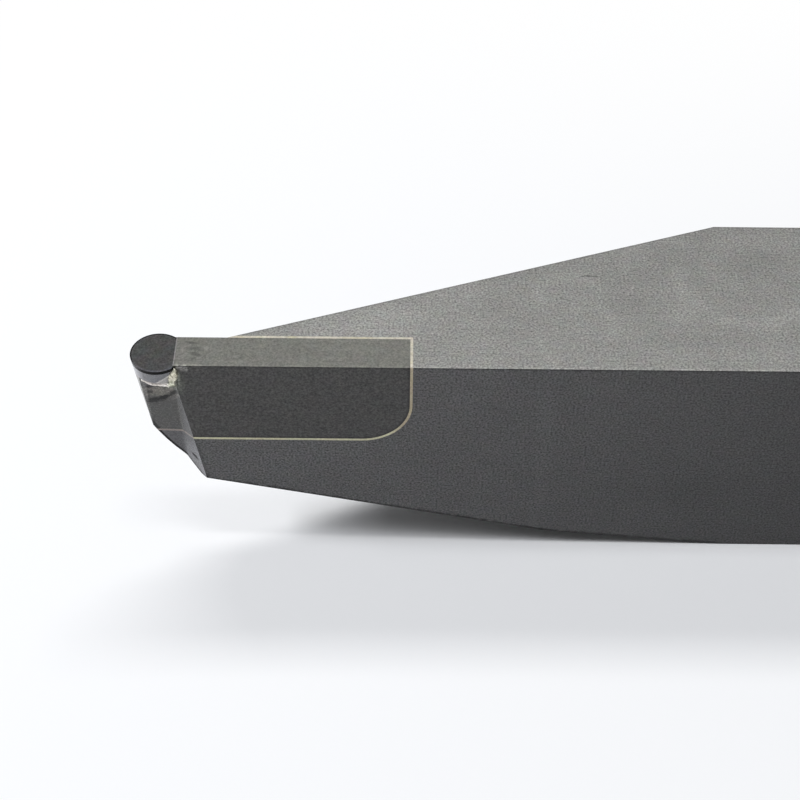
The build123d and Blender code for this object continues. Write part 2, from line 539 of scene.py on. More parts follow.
heel_x, heel_z, heel_radius = heel_circle()
print("heel radius in mm:", round(heel_radius / MM, 2))


def painted_heel_shade_line(tree, place, normal, faces, width):
    """Painted shade: a line width metres wide along the heel, on the ground faces beside it."""
    off = away_from(tree, place, (heel_x, 0.0, heel_z), (1.0, 0.0, 1.0))
    depth = calc(tree, "SUBTRACT", heel_radius, length(tree, off))
    line = step(tree, depth, width, HEEL_CORE * width)
    beside = step(tree, split_axes(tree, normal)["Z"], *BESIDE_HEEL)
    return product(tree, line, beside, faces["Nose"])


# %% Wipe marks, scratch and specks of the top
def on_top(x, y):
    """A place on the top, in mm of the part's own X and Y."""
    return (x * MM, y * MM, top_z)


def on_side(x, z):
    """A place on the near side, in mm of the part's own X and Z."""
    return (x * MM, near_y, z * MM)


# A wipe ring is a centre, a radius and a width in mm, the way to its full side, and a strength.
WIPE_RINGS = [
    (on_top(-50.6, -0.4), 2.9, 1.3, (-0.3, 0.95, 0.0), 0.15),
    (on_top(-49.3, -4.2), 2.6, 1.2, (0.8, 0.6, 0.0), 0.12),
    (on_top(-58.5, -9.4), 5.6, 1.3, (0.9, 0.45, 0.0), 0.1),
    (on_top(-33.7, 2.4), 6.3, 1.5, (-0.3, -0.95, 0.0), 0.17),
    (on_top(-41.5, 4.4), 3.6, 1.0, (-0.5, 0.86, 0.0), 0.1),
    (on_top(-12.0, -3.0), 7.0, 1.6, (-0.8, 0.6, 0.0), 0.13),
    (on_top(4.0, 3.5), 5.2, 1.4, (0.6, -0.8, 0.0), 0.11),
    (on_top(19.0, -1.5), 6.0, 1.5, (0.4, 0.9, 0.0), 0.11),
]
TOP_SPOTS = [
    (on_top(-40.5, -2.7), (2.6, 1.3, 9.0), 20, 0.08),
    (on_top(-34.8, 8.0), (2.2, 2.6, 9.0), 0, 0.07),
    (on_top(-32.0, -7.9), (6.0, 1.5, 9.0), 4, 0.09),
    (on_top(-70.0, -4.3), (8.5, 3.2, 9.0), 6, 0.19),
    (on_top(-39.5, 5.4), (3.6, 2.2, 9.0), 0, -0.06),
    (on_top(-31.0, 7.8), (5.0, 1.8, 9.0), 0, 0.07),
    (on_top(-63.0, -1.0), (7.0, 2.6, 9.0), 17, 0.09),
    (on_top(-56.4, -4.3), (3.4, 2.6, 9.0), 0, -0.06),
    (on_top(-45.5, -1.4), (2.2, 1.6, 9.0), 0, -0.07),
    (on_top(-39.9, -6.1), (5.0, 1.2, 9.0), 0, -0.04),
    (on_top(-31.9, 4.4), (3.4, 2.4, 9.0), 0, -0.07),
    (on_top(-44.5, 2.5), (4.4, 1.6, 9.0), 12, -0.07),
    (on_top(-74.1, -4.7), (0.5, 0.3, 9.0), 0, -0.12),
    (on_top(-76.6, -4.9), (0.5, 0.3, 9.0), 0, -0.08),
    (on_top(-12.0, 4.0), (6.0, 2.2, 9.0), -10, -0.06),
    (on_top(14.0, -5.0), (7.0, 1.8, 9.0), 8, 0.06),
]
TOP_SPECKS = [
    (on_top(-48.66, 2.58), (0.85, 0.14, 0.9), 0, -0.5),
    (on_top(-51.46, -0.54), (0.18, 0.18, 0.9), 0, -0.35),
    (on_top(-44.64, 1.01), (0.2, 0.2, 0.9), 0, 0.35),
    (on_top(-21.4, 6.2), (0.2, 0.2, 0.9), 0, -0.3),
    (on_top(3.1, -2.2), (0.9, 0.1, 0.91), 25, -0.3),
]
FLECK_SPOTS = [
    (from_tip(5.0, 12.92, -0.46), (0.52, 0.9, 0.24), 41, -0.95),
    (from_tip(4.88, 12.8, -0.56), (0.3, 0.9, 0.26), 41, -0.6),
    (from_tip(4.34, 12.8, -1.05), (0.24, 0.9, 0.2), 0, -0.3),
    (from_tip(4.67, 12.65, -0.75), (0.24, 0.9, 0.2), 0, -0.3),
]
SIDE_SPOTS = [
    (on_side(-59.4, 24.0), (3.0, 9.0, 1.5), 0, 0.06),
    (on_side(-60.0, 21.0), (2.5, 9.0, 1.5), 0, 0.06),
    (on_side(-45.5, 22.3), (3.5, 9.0, 1.5), 0, 0.05),
    (on_side(-77.0, 12.8), (3.0, 9.0, 1.2), 0, 0.06),
    (on_side(-38.0, 8.0), (6.0, 9.0, 4.0), 0, -0.06),
    (on_side(6.0, 14.0), (9.0, 9.5, 4.0), 0, -0.05),
]

# %% Steel of the shank: its grain and its marks
SIDE_GRAIN = 0.75
GRAIN_CHANGES = {"Top": -0.18, "Nose": -0.52, "Runout": 0.35}

steel, tree, shader, place, normal = new_finish("shank_steel", metallic=0.5)
faces = use(tree, faces_group, Place=place, Normal=normal)
grain = SIDE_GRAIN
for kind, change in GRAIN_CHANGES.items():
    grain = plus(tree, grain, faces[kind], change)
surface = ground(tree, place, grain=(0.2, grain), lines=0.08, clouds=(5, 0.06), hue=0.12)
wiped = 1.0
for centre, radius, width, toward, strength in WIPE_RINGS:
    ring_sizes = {"Radius": radius * MM, "Width": width * MM}
    ring = use(tree, wipe_group, Place=place, Centre=centre, Toward=toward, **ring_sizes)
    wiped = plus(tree, wiped, ring["Mask"], strength)
fleck = calc(tree, "MAXIMUM", spots(tree, place, FLECK_SPOTS, "Y", ragged=0.2), 0.0)
marked = product(
    tree,
    wiped,
    spots(tree, place, TOP_SPOTS, "Z", ragged=0.2),
    spots(tree, place, TOP_SPECKS, "Z"),
    spots(tree, place, SIDE_SPOTS, "Y", ragged=0.2),
    fleck,
)

# %% Steel of the shank: the painted highlights and shade along its edges
STEEL_TOP_EDGE = (0.36 * MM, -0.6, 0.3)
STEEL_RUNOUT_EDGE = (0.5 * MM, -0.3, 0.6)
STEEL_HEEL_WIDTH, PAINTED_HEEL_SHADE = 0.36 * MM, -0.9
STEEL_FRONT_PAINTED_REFLECTION = 1.5
PLAIN_SPECULAR = 0.5
# An edge is two faces, a width in mm and a strength: over 0 a painted highlight, under 0 painted
# shade.
SHANK_EDGES = [
    (near_face, head_relief_face, 0.4, -1.0),
    (near_face, relief_face, 0.36, -0.85),
    (top_face, taper_face, 0.26, -0.3),
    (top_face, far_face, 0.26, -0.3),
    (taper_face, head_relief_face, 0.26, 0.25),
    (far_face, relief_face, 0.26, 0.25),
    (far_face, seat_face, 0.26, 0.25),
    (top_face, rear_face, 0.26, 0.25),
    (far_face, taper_face, 0.26, 0.2),
]


def near_edge(tree, place, total, face, mask, width, off, on):
    """The total plus the line where a face meets the near side.

    Its strength goes from off to on as the mask goes from 0 to 1, so it can paint shade on one
    side of the edge and a highlight on the other.
    """
    line = edge(tree, place, face, near_face, width)
    return plus(tree, total, line, between(tree, mask, off, on))


lines = near_edge(tree, place, 1.0, top_face, faces["Top"], *STEEL_TOP_EDGE)
for first, second, width, strength in SHANK_EDGES:
    lines = plus(tree, lines, edge(tree, place, first, second, width * MM), strength)
lines = near_edge(tree, place, lines, runout_face, faces["Nose"], *STEEL_RUNOUT_EDGE)
# Painted shade: a dark line along the heel.
heel_shade_mask = painted_heel_shade_line(tree, place, normal, faces, STEEL_HEEL_WIDTH)
lines = plus(tree, lines, heel_shade_mask, PAINTED_HEEL_SHADE)
# Painted reflection: the front of the nose, which looks left, is made lighter.
lines = plus(tree, lines, faces["Front"], STEEL_FRONT_PAINTED_REFLECTION)
dull = product(tree, fleck, plus(tree, 1.0, heel_shade_mask, PAINTED_HEEL_SHADE))
specular = product(tree, dull, PLAIN_SPECULAR)
tree.links.new(specular, shader.inputs["Specular IOR Level"])

# %% Steel of the shank: its colours
# The top and side colours are lit and shaded copies of one steel: painted light and shade.
LIT_TOP_STEEL = (0.176, 0.174, 0.163)
SHADED_SIDE_STEEL = (0.0975, 0.096, 0.0968)
NOSE_STEEL = (0.094, 0.0935, 0.0985)
RUNOUT_STEEL = (0.091, 0.091, 0.0965)
REARWARD, REAR_PAINTED_SHADE = (-80 * MM, -10 * MM), 0.53
UPPER_RUNOUT, UPPER_SHADE = (top_z - 13 * MM, top_z - 9.5 * MM), 0.54
STEEL_ROUGHNESS = (0.42, 0.28)

# Painted shade: the side gets darker towards the rear, as the light falls off.
rearward_painted_shade = step(tree, split_axes(tree, place)["X"], *REARWARD)
side_steel_painted_shade = tint(tree, SHADED_SIDE_STEEL, between(tree, rearward_painted_shade, 1.0, REAR_PAINTED_SHADE))
upper = step(tree, split_axes(tree, place)["Z"], *UPPER_RUNOUT)
runout_steel = tint(tree, RUNOUT_STEEL, between(tree, upper, 1.0, UPPER_SHADE))
colour = mix(tree, faces["Top"], side_steel_painted_shade, LIT_TOP_STEEL)
colour = mix(tree, faces["Nose"], colour, NOSE_STEEL)
colour = mix(tree, faces["Runout"], colour, runout_steel)
colour = tint(tree, colour, product(tree, marked, lines))
roughness = between(tree, faces["Nose"], *STEEL_ROUGHNESS)
finish_surface(tree, shader, colour, surface, roughness, depth=0.004 * MM)
wear("shank", steel)

# %% [markdown]
# ## The blade
# A bar of cemented carbide, darker than the steel and finer in grain. Brazing the disc heated
# its nose, which left a brownish patch there with a dark smear under it, and grey stains beside
# the lump of braze, with a greenish residue of flux. The clean grinding of the flank starts
# below the smear. As on the steel, its top is painted lighter and its sides darker, as painted
# light and shade, and its edges, heel and front carry painted highlights, shade and reflection.

# %% Stains on the nose and marks on the blade's top
HEAT_SPOTS = [(from_tip(2.75, 3.75, -0.3), (2.0, 2.2, 1.25), -8, 1.0)]
RESIDUE_SPOTS = [
    (from_tip(4.5, 1.9), (0.5, 2.2, 1.9), -6, 1.0),
    (from_tip(4.2, 3.2), (0.5, 2.2, 0.6), 0, 0.5),
]
NOSE_SPOTS = [
    (from_tip(2.1, 4.92, -0.48), (1.25, 2.2, 0.48), -23, -0.95),
    (from_tip(2.95, 4.45, -0.38), (0.7, 2.2, 0.32), -30, -0.8),
    (from_tip(3.75, 3.83, -0.25), (0.85, 2.2, 0.4), -43, -0.85),
    (from_tip(1.6, 3.76, -0.34), (0.4, 2.2, 0.3), 0, -0.7),
    (from_tip(1.63, 2.98, -0.24), (0.5, 2.2, 0.26), -6, -0.8),
    (from_tip(1.43, 4.3, -0.4), (0.1, 2.2, 1.6), 2, -0.35),
    (from_tip(4.66, 1.4), (0.2, 0.4, 1.3), -6, -0.4),
    (from_tip(4.42, 1.3), (0.22, 0.4, 1.4), 0, 1.1),
]
BLADE_TOP_SPOTS = [
    (on_top(-85.8, -7.0), (0.8, 0.2, 1.0), -12, -0.5),
    (on_top(-85.4, -7.8), (0.85, 0.27, 1.0), -10, -0.4),
    (on_top(-85.3, -8.45), (0.75, 0.27, 1.0), -20, -0.42),
    (on_top(-85.5, -9.15), (0.5, 0.4, 1.0), 0, -0.22),
    (on_top(-86.3, -8.3), (0.5, 0.9, 1.0), 0, 0.12),
    (on_top(-84.36, -7.66), (0.4, 0.3, 1.0), 0, 0.28),
    (on_top(-85.1, -9.9), (0.8, 0.18, 1.0), 0, 0.45),
    (on_top(-81.0, -8.89), (0.45, 0.3, 1.0), 0, -0.2),
    (on_top(-75.5, -8.1), (2.6, 0.9, 3.0), 0, -0.07),
    (on_top(-70.0, -7.3), (2.6, 1.2, 3.0), 0, 0.07),
]
BLADE_SIDE_SPOTS = [
    (on_side(-68.5, 19.9), (2.5, 9.0, 2.0), 0, -0.07),
    (on_side(-79.0, 21.5), (2.8, 9.0, 1.6), 0, 0.05),
    (from_tip(5.02, 0.36), (0.5, 0.3, 0.42), 0, 3.0),
    (from_tip(4.5, 0.3), (0.35, 0.3, 0.3), 0, 1.3),
]

# %% Seam line: just inside the blade's lower and rear edge
BLADE_CORNER = 4.55 * MM
SEAM_LINE = (0.34 * MM, 0.08 * MM)


def seam_line(tree, place):
    """The mask of a line inside the blade's outline on its side, which has one round corner.

    The way past the corner's centre, down and to the rear, is measured with no negative part,
    so that along the straight edges it is the plain distance.
    """
    corner = (blade_high.x - BLADE_CORNER, 0.0, blade_low.z + BLADE_CORNER)
    past = away_from(tree, place, corner, (1.0, 0.0, -1.0))
    past = vector_calc(tree, "MAXIMUM", past, (0.0, 0.0, 0.0))
    depth = calc(tree, "SUBTRACT", BLADE_CORNER, length(tree, past))
    return step(tree, depth, *SEAM_LINE)


# %% Carbide of the blade: its grain, its marks, a seam line and painted edge light and shade
CARBIDE_TOP_EDGE = (0.28 * MM, -0.4, 0.22)
CARBIDE_RUNOUT_EDGE = (0.4 * MM, 0.0, 0.6)
CARBIDE_HEEL_WIDTH = 0.5 * MM
CARBIDE_FRONT_PAINTED_REFLECTION = 3.0
SEAM_SHADE = -0.45
CARBIDE_GRAIN = (0.61, 0.34)

carbide, tree, shader, place, normal = new_finish("blade_carbide", metallic=0.5)
faces = use(tree, faces_group, Place=place, Normal=normal)
finer = calc(tree, "MAXIMUM", faces["Nose"], faces["Top"])
grain = between(tree, finer, *CARBIDE_GRAIN)
surface = ground(tree, place, grain=(0.19, grain), lines=0.06, clouds=(3, 0.05), hue=0.12)
marked = product(
    tree,
    spots(tree, place, NOSE_SPOTS, "Y"),
    spots(tree, place, BLADE_TOP_SPOTS, "Z"),
    spots(tree, place, BLADE_SIDE_SPOTS, "Y"),
)
not_top = invert(tree, faces["Top"])
on_sides = calc(tree, "SUBTRACT", not_top, faces["Nose"], clamp=True)
lines = near_edge(tree, place, 1.0, top_face, faces["Top"], *CARBIDE_TOP_EDGE)
lines = near_edge(tree, place, lines, runout_face, faces["Nose"], *CARBIDE_RUNOUT_EDGE)
lines = plus(tree, lines, product(tree, seam_line(tree, place), on_sides), SEAM_SHADE)
heel_shade_mask = painted_heel_shade_line(tree, place, normal, faces, CARBIDE_HEEL_WIDTH)
lines = plus(tree, lines, heel_shade_mask, PAINTED_HEEL_SHADE)
# Painted reflection: the front of the nose, which looks left, is made lighter.
lines = plus(tree, lines, faces["Front"], CARBIDE_FRONT_PAINTED_REFLECTION)

# %% Carbide of the blade: its colours
# The top and side colours are lit and shaded copies of one carbide: painted light and shade.
LIT_TOP_CARBIDE = (0.1125, 0.1115, 0.098)
SHADED_SIDE_CARBIDE = (0.0568, 0.0553, 0.0535)
NOSE_CARBIDE = (0.082, 0.0813, 0.0785)
RUNOUT_CARBIDE = (0.04, 0.0395, 0.04)
HEATED_CARBIDE = (0.152, 0.143, 0.126)
RESIDUE_GREEN = (0.1, 0.103, 0.09)
CARBIDE_ROUGHNESS = (0.4, 0.26)

heated = calc(tree, "SUBTRACT", spots(tree, place, HEAT_SPOTS, "Y"), 1.0)
heated = product(tree, heated, faces["Nose"])
residue = calc(tree, "SUBTRACT", spots(tree, place, RESIDUE_SPOTS, "Y"), 1.0, clamp=True)
residue = product(tree, residue, not_top)
colour = mix(tree, faces["Top"], SHADED_SIDE_CARBIDE, LIT_TOP_CARBIDE)
colour = mix(tree, faces["Nose"], colour, NOSE_CARBIDE)
colour = mix(tree, faces["Runout"], colour, RUNOUT_CARBIDE)
colour = mix(tree, heated, colour, HEATED_CARBIDE)
colour = mix(tree, residue, colour, RESIDUE_GREEN)
colour = tint(tree, colour, product(tree, marked, lines))
roughness = between(tree, faces["Nose"], *CARBIDE_ROUGHNESS)
finish_surface(tree, shader, colour, surface, roughness, depth=0.003 * MM)
wear("carbide_blade", carbide)

# %% [markdown]
# ## The film of braze round the blade
# A quarter of a millimetre of brazing alloy, ground flush with the steel and the carbide. It is
# pale gold, brighter where the alloy is sound and duller where it has tarnished. It is reddish
# where the nose was ground, and a little so behind the blade.

# %% Braze film round the blade
FILM_TOP = (0.388, 0.359, 0.298)
FILM_SIDE = (0.515, 0.497, 0.345)
FILM_DULL = (0.34, 0.31, 0.2)
FILM_REAR = (0.385, 0.33, 0.235)
FILM_NOSE = (0.25, 0.212, 0.195)
FILM_REAR_ENDS = (blade_high.x - 2 * MM, blade_high.x - 0.5 * MM)
TARNISH_PATCH, TARNISHED = 1.6 * MM, (0.5, 0.75)
FILM_ROUGHNESS = (0.33, 0.48)

film, tree, shader, place, normal = new_finish("film_braze", metallic=0.7)
faces = use(tree, faces_group, Place=place, Normal=normal)
surface = ground(tree, place, grain=(0.25, 0.2), lines=0.0, clouds=(6, 0.08), hue=0.12)
tarnish = noise(tree, place, TARNISH_PATCH, detail=3.0, roughness=0.6)
tarnish = step(tree, tarnish, *TARNISHED)
colour = mix(tree, tarnish, mix(tree, faces["Top"], FILM_SIDE, FILM_TOP), FILM_DULL)
rear_end = step(tree, split_axes(tree, place)["X"], *FILM_REAR_ENDS)
rear_end = product(tree, rear_end, invert(tree, faces["Top"]))
colour = mix(tree, rear_end, colour, FILM_REAR)
colour = mix(tree, faces["Nose"], colour, FILM_NOSE)
roughness = between(tree, tarnish, *FILM_ROUGHNESS)
finish_surface(tree, shader, colour, surface, roughness, depth=0.006 * MM)
wear("blade_braze", film)

# %% [markdown]
# ## The diamond blank
# The disc is two layers sintered together: a thin black layer of diamond, lapped on top and
# ground round its edge, and a blue-grey carbide backing. The top has a fine black rim, with a
# faint painted highlight inside it on the near side. Where the edges of both layers look left,
# they have a painted reflection. The braze has climbed the backing beside the lump, up to a
# slanted pale rim, so that corner of it has the braze's colour.

# %% Carbide backing of the disc
BACKING_GREY = (0.185, 0.185, 0.195)
WETTED = (0.4, 0.385, 0.375)
WETTED_RIM = (0.52, 0.505, 0.48)
WETTED_SLOPE, WETTED_REACH = 0.62, 3.17 * MM
WETTED_PATCH, WETTED_RAGGED = 0.5 * MM, 0.05 * MM
WETTED_FADE, WETTED_RIM_FADE = (0.0, 0.08 * MM), (0.16 * MM, 0.04 * MM)
NEAR_SIDE = (-0.5, -0.75)
BACKING_FRONT_PAINTED_REFLECTION = 2.4

backing, tree, shader, place, normal = new_finish("disc_carbide", metallic=0.75)
surface = ground(tree, place, grain=(0.16, 0.2), lines=0.1, clouds=(0.8, 0.1), hue=0.08)
faces = use(tree, faces_group, Place=place, Normal=normal)
# Painted reflection: the backing's front, which looks left, is made lighter.
front_painted_reflection = between(tree, faces["Front"], 1.0, BACKING_FRONT_PAINTED_REFLECTION)
drop = calc(tree, "SUBTRACT", top_z, split_axes(tree, place)["Z"])
spread = plus(tree, drop, behind_tip(tree, place), WETTED_SLOPE)
spread = calc(tree, "SUBTRACT", spread, WETTED_REACH)
ragged = round_zero(tree, noise(tree, place, WETTED_PATCH))
spread = plus(tree, spread, ragged, WETTED_RAGGED)
rim = step(tree, calc(tree, "ABSOLUTE", spread), *WETTED_RIM_FADE)
near_side = step(tree, split_axes(tree, normal)["Y"], *NEAR_SIDE)
wetted = product(tree, step(tree, spread, *WETTED_FADE), near_side)
colour = mix(tree, wetted, tint(tree, BACKING_GREY, front_painted_reflection), WETTED)
colour = mix(tree, product(tree, rim, near_side), colour, WETTED_RIM)
finish_surface(tree, shader, colour, surface, roughness=0.24, depth=0.002 * MM)
wear("carbide_disc", backing)

# %% Diamond
DIAMOND_TOP = (0.065, 0.0642, 0.0622)
DIAMOND_RIM_PAINTED_HIGHLIGHT = (0.1, 0.1, 0.108)
DIAMOND_EDGE = (0.002, 0.002, 0.0025)
DIAMOND_FRONT_PAINTED_REFLECTION = (0.11, 0.11, 0.115)
DARK_RIM, PAINTED_HIGHLIGHT_RIM = (0.18 * MM, 0.08 * MM), (0.3 * MM, 0.08 * MM)
NEAR_HALF = (-0.2 * nose_radius, -0.7 * nose_radius)
DIAMOND_LOOKS_LEFT = (-0.5, -0.85)
DIAMOND_SPECULAR = 0.08

diamond, tree, shader, place, normal = new_finish("sintered_diamond")
shader.inputs["Specular IOR Level"].default_value = DIAMOND_SPECULAR
surface = ground(tree, place, grain=(0.19, 0.45), lines=0.05, clouds=(1.5, 0.1), hue=0.3)
faces = use(tree, faces_group, Place=place, Normal=normal)
off_centre = away_from(tree, place, tuple(nose_centre), LEVEL)
from_rim = calc(tree, "SUBTRACT", nose_radius, length(tree, off_centre))
near_half = step(tree, split_axes(tree, off_centre)["Y"], *NEAR_HALF)
# Painted highlight: a faint light line inside the rim on the near half.
painted_highlight_rim = product(tree, step(tree, from_rim, *PAINTED_HIGHLIGHT_RIM), near_half)
dark_rim = product(tree, step(tree, from_rim, *DARK_RIM), invert(tree, near_half))
colour = mix(tree, painted_highlight_rim, DIAMOND_TOP, DIAMOND_RIM_PAINTED_HIGHLIGHT)
colour = mix(tree, dark_rim, colour, DIAMOND_EDGE)
# Painted reflection: the diamond's edge is lighter where it looks left.
looks_left = step(tree, split_axes(tree, normal)["X"], *DIAMOND_LOOKS_LEFT)
edge_colour = mix(tree, looks_left, DIAMOND_EDGE, DIAMOND_FRONT_PAINTED_REFLECTION)
colour = mix(tree, faces["Top"], edge_colour, colour)
finish_surface(tree, shader, colour, surface, roughness=0.4, depth=0.002 * MM)
wear("diamond_layer", diamond)

# %% [markdown]
# ## The braze at the disc
# The alloy that holds the disc ran out under its overhang and set there, cream and lumpy, with
# flux stains and pores in it. Where it was ground flush behind the disc, it is only a thin grey
# line. The solid has the run's main form, and is duller than the bead that lies along its foot.
# Its grey under the overhang is partly tarnish and partly painted shade of the disc above it.
# The bead's alloy is fresh metal, so it mirrors the light and looks pale even in the shade.

# %% Braze that ran out beside the disc
BEAD_CREAM = (0.99, 0.96, 0.88)
LUMP_CREAM = (0.775, 0.75, 0.61)
BEAD_STAIN = (0.33, 0.325, 0.235)
# The run's grey is partly tarnish and partly painted shade under the disc.
FILLET_TARNISH_AND_SHADE_GREY = (0.5, 0.475, 0.45)
LUMP_DULL = (0.2, 0.2, 0.165)
SEAM_GREY = (0.17, 0.16, 0.158)
LUMP_STARTS, TIP_ENDS = (3.29 * MM, 3.71 * MM), (3.2 * MM, 2.7 * MM)
STAIN_PATCH, STAINED, STAINED_LUMP = 0.32 * MM, (0.54, 0.72), 0.1
PORE_SPACING, PORE_RIM = 0.42 * MM, (0.24, 0.12)
DIRT, TIP_SHADE = 0.85, 0.76
RUN_METALLIC, BEAD_METALLIC = 0.15, 0.8
GROUND_FLAT, GROUND_FLUSH = (0.9, 0.99), (top_z - 0.08 * MM, top_z - 0.03 * MM)


def braze_finish(name, metallic, clean, lump_clean, stained):
    """Braze as it set: clean along the disc, and stained and full of pores on the lump."""
    material, tree, shader, place, normal = new_finish(name, metallic=metallic)
    surface = ground(tree, place, grain=(0.2, 0.3), lines=0.0, clouds=(0.8, 0.12), hue=0.15)
    station = behind_tip(tree, place)
    on_lump = step(tree, station, *LUMP_STARTS)
    patches = noise(tree, place, STAIN_PATCH, detail=3.0, roughness=0.6)
    stain = step(tree, plus(tree, patches, on_lump, STAINED_LUMP), *STAINED)
    cells = add(tree, "TexVoronoi", {"Vector": place, "Scale": 1 / PORE_SPACING})
    pore = step(tree, cells.outputs["Distance"], *PORE_RIM)
    dirt = calc(tree, "MAXIMUM", stain, product(tree, pore, on_lump))
    near_tip = step(tree, station, *TIP_ENDS)
    clean = tint(tree, clean, between(tree, near_tip, 1.0, TIP_SHADE))
    colour = mix(tree, on_lump, clean, lump_clean)
    colour = mix(tree, product(tree, dirt, DIRT), colour, stained)
    flat = step(tree, split_axes(tree, normal)["Z"], *GROUND_FLAT)
    flush = step(tree, split_axes(tree, place)["Z"], *GROUND_FLUSH)
    colour = mix(tree, product(tree, flat, flush), colour, SEAM_GREY)
    finish_surface(tree, shader, colour, surface, roughness=0.38, depth=0.02 * MM)
    return material


run_braze = braze_finish("run_braze", RUN_METALLIC, FILLET_TARNISH_AND_SHADE_GREY, LUMP_DULL, LUMP_DULL)
bead_braze = braze_finish("bead_braze", BEAD_METALLIC, BEAD_CREAM, LUMP_CREAM, BEAD_STAIN)
wear("disc_braze", run_braze)

# %% [markdown]
# ## The bead
# Along the foot of that run lies a bead: thin at the tip of the nose, thicker towards the
# disc's near rear corner, and there it climbs as an uneven lump up to the top. A round section
# carried along a path makes it, with a radius that changes along the way and a few waves round
# it for the lumps. The photo doesn't show the far side, which has a thinner bead and no lump.

# %% A smooth line through a few knots
PER_SPAN = 22


def smooth_line(knots):
    """Points on a curve through the knots.

    Between two knots it is the cubic that leaves each of them along the line between that
    knot's neighbours. The columns can hold anything that changes smoothly, so the radius goes
    with the place.
    """
    knots = np.array(knots, float)
    ends = np.vstack([2 * knots[0] - knots[1], knots, 2 * knots[-1] - knots[-2]])
    before, start, end, after = ends[:-3], ends[1:-2], ends[2:-1], ends[3:]
    t = np.linspace(0, 1, PER_SPAN, endpoint=False)[None, :, None]
    before, start, end, after = (part[:, None, :] for part in (before, start, end, after))
    spans = 0.5 * (
        2 * start
        + (end - before) * t
        + (2 * before - 5 * start + 4 * end - after) * t**2
        + (3 * start - before - 3 * end + after) * t**3
    )
    return np.vstack([spans.reshape(-1, knots.shape[1]), knots[-1:]])


# %% Lumpy rings round a path
ROUND_COUNT = 20
WAVES = [(0.13, 5.1, 2, 0.0), (0.1, 9.7, -1, 1.0), (0.07, 17.3, 3, 2.0)]
LUMPY_RADIUS, THIN_LUMPS = 0.36 * MM, 0.3
END_SECTION = 0.02


def lumpy_rings(centres, radii, run_length):
    """Rings of points across a path, for a lumpy skin.

    At each point of the path the section is a circle across it. Its radius is the path's own
    times 1 plus three waves. A wave is its height times the sine of three things added up: its
    number per mm times the length along the path, its turns times the angle round it, and its
    shift. The waves are full where the bead is thick, and weak where it is thin.
    Near each end the radius falls as on a ball, to the root of 1 minus the square of 1 - c,
    where c is the way to the end over the radius, and what is under the root stays over
    END_SECTION.
    """
    ahead = np.gradient(centres, axis=0)
    ahead /= np.linalg.norm(ahead, axis=1)[:, None]
    outward = np.cross(ahead, np.cross((0.0, -1.0, 0.0), ahead))
    outward /= np.linalg.norm(outward, axis=1)[:, None]
    sideways = np.cross(ahead, outward)
    to_end = np.minimum(run_length, run_length[-1] - run_length)
    cap = np.clip(to_end / radii, 0, 1)
    radii = radii * np.sqrt(np.clip(1 - (1 - cap) ** 2, END_SECTION, 1))
    angle = np.linspace(0, 2 * np.pi, ROUND_COUNT, endpoint=False)[None, :]
    along = (run_length / MM)[:, None]
    waves = sum(
        height * np.sin(per_mm * along + turns * angle + shift)
        for height, per_mm, turns, shift in WAVES
    )
    waves *= np.clip(radii / LUMPY_RADIUS, THIN_LUMPS, 1)[:, None]
    reach = (radii[:, None] * (1 + waves))[:, :, None]
    return (
        centres[:, None, :]
        + reach * np.cos(angle)[:, :, None] * outward[:, None, :]
        + reach * np.sin(angle)[:, :, None] * sideways[:, None, :]
    )


# %% The faces of the skin
def ring_faces(count):
    """The faces of a skin over count rings, with one more point to close each end."""
    ring, turn = np.meshgrid(np.arange(count - 1), np.arange(ROUND_COUNT), indexing="ij")
    here = ring * ROUND_COUNT + turn
    beside = ring * ROUND_COUNT + (turn + 1) % ROUND_COUNT
    walls = np.stack([here, beside, beside + ROUND_COUNT, here + ROUND_COUNT], axis=-1)
    first = np.arange(ROUND_COUNT)
    second = (first + 1) % ROUND_COUNT
    last = (count - 1) * ROUND_COUNT
    start_pole = np.full(ROUND_COUNT, count * ROUND_COUNT)
    start_cap = np.stack([start_pole, second, first], axis=-1)
    end_cap = np.stack([start_pole + 1, last + first, last + second], axis=-1)
    return walls.reshape(-1, 4).tolist() + start_cap.tolist() + end_cap.tolist()


# %% A helper that makes one bead
def add_object(name, data):
    """An object in the scene, made of a mesh, a lamp or a camera."""
    made = bpy.data.objects.new(name, data)
    bpy.context.scene.collection.objects.link(made)
    return made


def bead(name, rows, material):
    """A bead with round ends along a path. A row is what from_tip takes and a radius, in mm."""
    knots = [(*from_tip(*place), radius * MM) for *place, radius in rows]
    line = smooth_line(knots)
    centres, radii = line[:, :3], np.abs(line[:, 3])
    pieces = np.linalg.norm(np.diff(centres, axis=0), axis=1)
    run_length = np.concatenate([[0], np.cumsum(pieces)])
    rings = lumpy_rings(centres, radii, run_length)
    points = np.vstack([rings.reshape(-1, 3), centres[:1], centres[-1:]])
    mesh = bpy.data.meshes.new(name)
    mesh.from_pydata(points.tolist(), [], ring_faces(len(rings)))
    mesh.polygons.foreach_set("use_smooth", np.ones(len(mesh.polygons), bool))
    mesh.materials.append(material)
    piece = add_object(name, mesh)
    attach(piece, "root")
    print(name, "has", len(mesh.polygons), "faces and is", round(run_length[-1] / MM, 2), "mm long")


